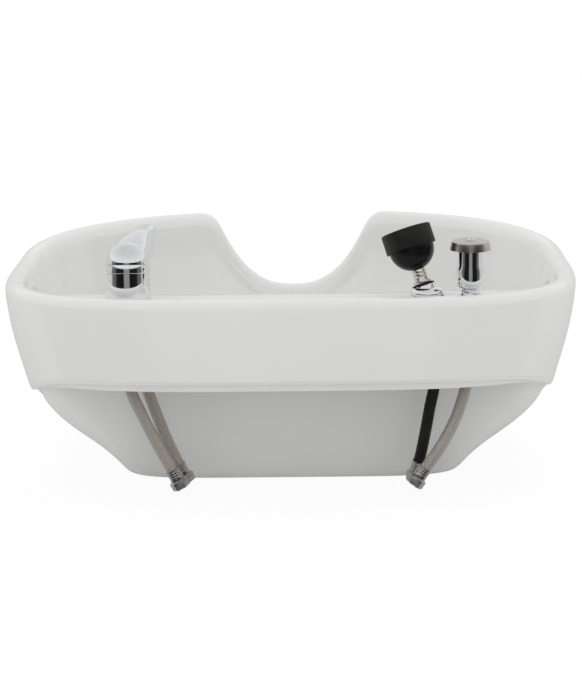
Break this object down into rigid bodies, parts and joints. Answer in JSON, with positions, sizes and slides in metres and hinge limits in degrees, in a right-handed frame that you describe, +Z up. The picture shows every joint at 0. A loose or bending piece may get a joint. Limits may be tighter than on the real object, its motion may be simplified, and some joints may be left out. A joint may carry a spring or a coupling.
{
  "type": "shampoo bowl",
  "caption": "Ceramic hair washing bowl with a neck rest notch, a rear deck with a lever mixer, a lift-out spray head, a vacuum breaker and a strained drain.",
  "frame": {"origin": "under the middle of the rim's outline, on the flat foot the bowl stands on", "axes": "+X along the width of the bowl, +Y from the fittings deck to the neck notch, +Z up"},
  "size_m": [0.609, 0.4899, 0.2783],
  "materials": {
    "ceramic": "white gloss glaze",
    "chrome": "polished chrome plate",
    "nickel": "satin nickel plate",
    "brass": "machined brass",
    "steel": "plain zinc plated steel",
    "braid": "woven stainless steel braid",
    "rubber": "black rubber",
    "black_gloss": "glossy black moulding",
    "black_matt": "matt black moulding",
    "pale_plastic": "pale moulded plastic",
    "blue_plastic": "blue moulded plastic"
  },
  "bodies": {
    "bowl": {"ceramic_bowl": "ceramic", "drain_body": "chrome", "mixer_body": "chrome", "bonnet_ring": "chrome", "deck_plate": "chrome", "spray_holder": "chrome", "breaker_body": "chrome", "breaker_cap_screw": "chrome", "breaker_cap": "nickel", "drain_locknut": "brass", "cartridge_nut": "brass", "mixer_outlet_nipple": "brass", "mixer_stud_nut": "brass", "holder_locknut": "brass", "breaker_locknut": "brass", "breaker_tee": "brass", "mixer_stud": "steel", "mixer_clamp_plate": "steel", "under_plate": "steel", "breaker_bridge": "steel", "hot_hose_stem": "steel", "cold_hose_stem": "steel", "breaker_hose_stem": "steel", "hot_hose_ferrule": "steel", "cold_hose_ferrule": "steel", "breaker_hose_ferrule": "steel", "hot_hose": "braid", "cold_hose": "braid", "breaker_hose": "braid", "drain_seal": "rubber", "drain_gasket": "rubber", "mixer_base_seal": "rubber", "cartridge_seal": "rubber", "mixer_clamp_seal": "rubber", "plate_seal": "rubber", "under_seal": "rubber", "breaker_seat_seal": "rubber", "holder_bush": "black_matt", "drain_washer": "pale_plastic", "cartridge_body": "pale_plastic"},
    "carrier": {"lever_carrier": "pale_plastic", "lever_pivot_pin": "steel"},
    "lever": {"lever_pin": "steel", "lever_handle": "chrome", "handle_grub_screw": "steel"},
    "spray": {"spray_adapter": "chrome", "spray_ball": "black_gloss", "spray_collar": "black_matt", "spray_seal": "rubber", "spray_face": "black_gloss", "spray_hose": "black_matt", "spray_hose_ferrule": "steel"},
    "spray_hose_nut": {"spray_hose_swivel_nut": "steel"},
    "strainer": {"strainer_basket": "chrome"},
    "float": {"breaker_float": "blue_plastic"},
    "hot_nut": {"hot_hose_swivel_nut": "steel"},
    "cold_nut": {"cold_hose_swivel_nut": "steel"},
    "breaker_nut": {"breaker_hose_swivel_nut": "steel"}
  },
  "joints": [
    {"name": "lever_swivel", "type": "hinge", "parent": "bowl", "child": "carrier", "pos_m": [-0.164, -0.172, 0.2287], "axis": [0, 0.1908, 0.9816], "range_deg": [-31.5, 58.5]},
    {"name": "lever_tilt", "type": "hinge", "parent": "carrier", "child": "lever", "pos_m": [-0.164, -0.17015, 0.23822], "axis": [0.9703, -0.2375, 0.0462], "range_deg": [-20, 0]},
    {"name": "spray_lift", "type": "slide", "parent": "bowl", "child": "spray", "axis": [-0.2994, 0.2469, 0.9216], "range_m": [0, 0.015]},
    {"name": "spray_hose_nut_spin", "type": "hinge", "parent": "spray", "child": "spray_hose_nut", "pos_m": [0.1305, -0.17, 0.0215], "axis": [-0.2126, 0.117, -0.9701], "continuous": true},
    {"name": "strainer_lift", "type": "slide", "parent": "bowl", "child": "strainer", "axis": [0, 0, 1], "range_m": [0, 0.06]},
    {"name": "float_rise", "type": "slide", "parent": "bowl", "child": "float", "axis": [0, 0, 1], "range_m": [0, 0.004]},
    {"name": "hot_nut_spin", "type": "hinge", "parent": "bowl", "child": "hot_nut", "pos_m": [-0.1185, -0.1945, 0.0215], "axis": [0.4806, -0.023, -0.8766], "continuous": true},
    {"name": "cold_nut_spin", "type": "hinge", "parent": "bowl", "child": "cold_nut", "pos_m": [-0.114, -0.1725, 0.0215], "axis": [0.4063, -0.0176, -0.9136], "continuous": true},
    {"name": "breaker_nut_spin", "type": "hinge", "parent": "bowl", "child": "breaker_nut", "pos_m": [0.1325, -0.1945, 0.0215], "axis": [-0.6087, -0.0898, -0.7883], "continuous": true}
  ]
}
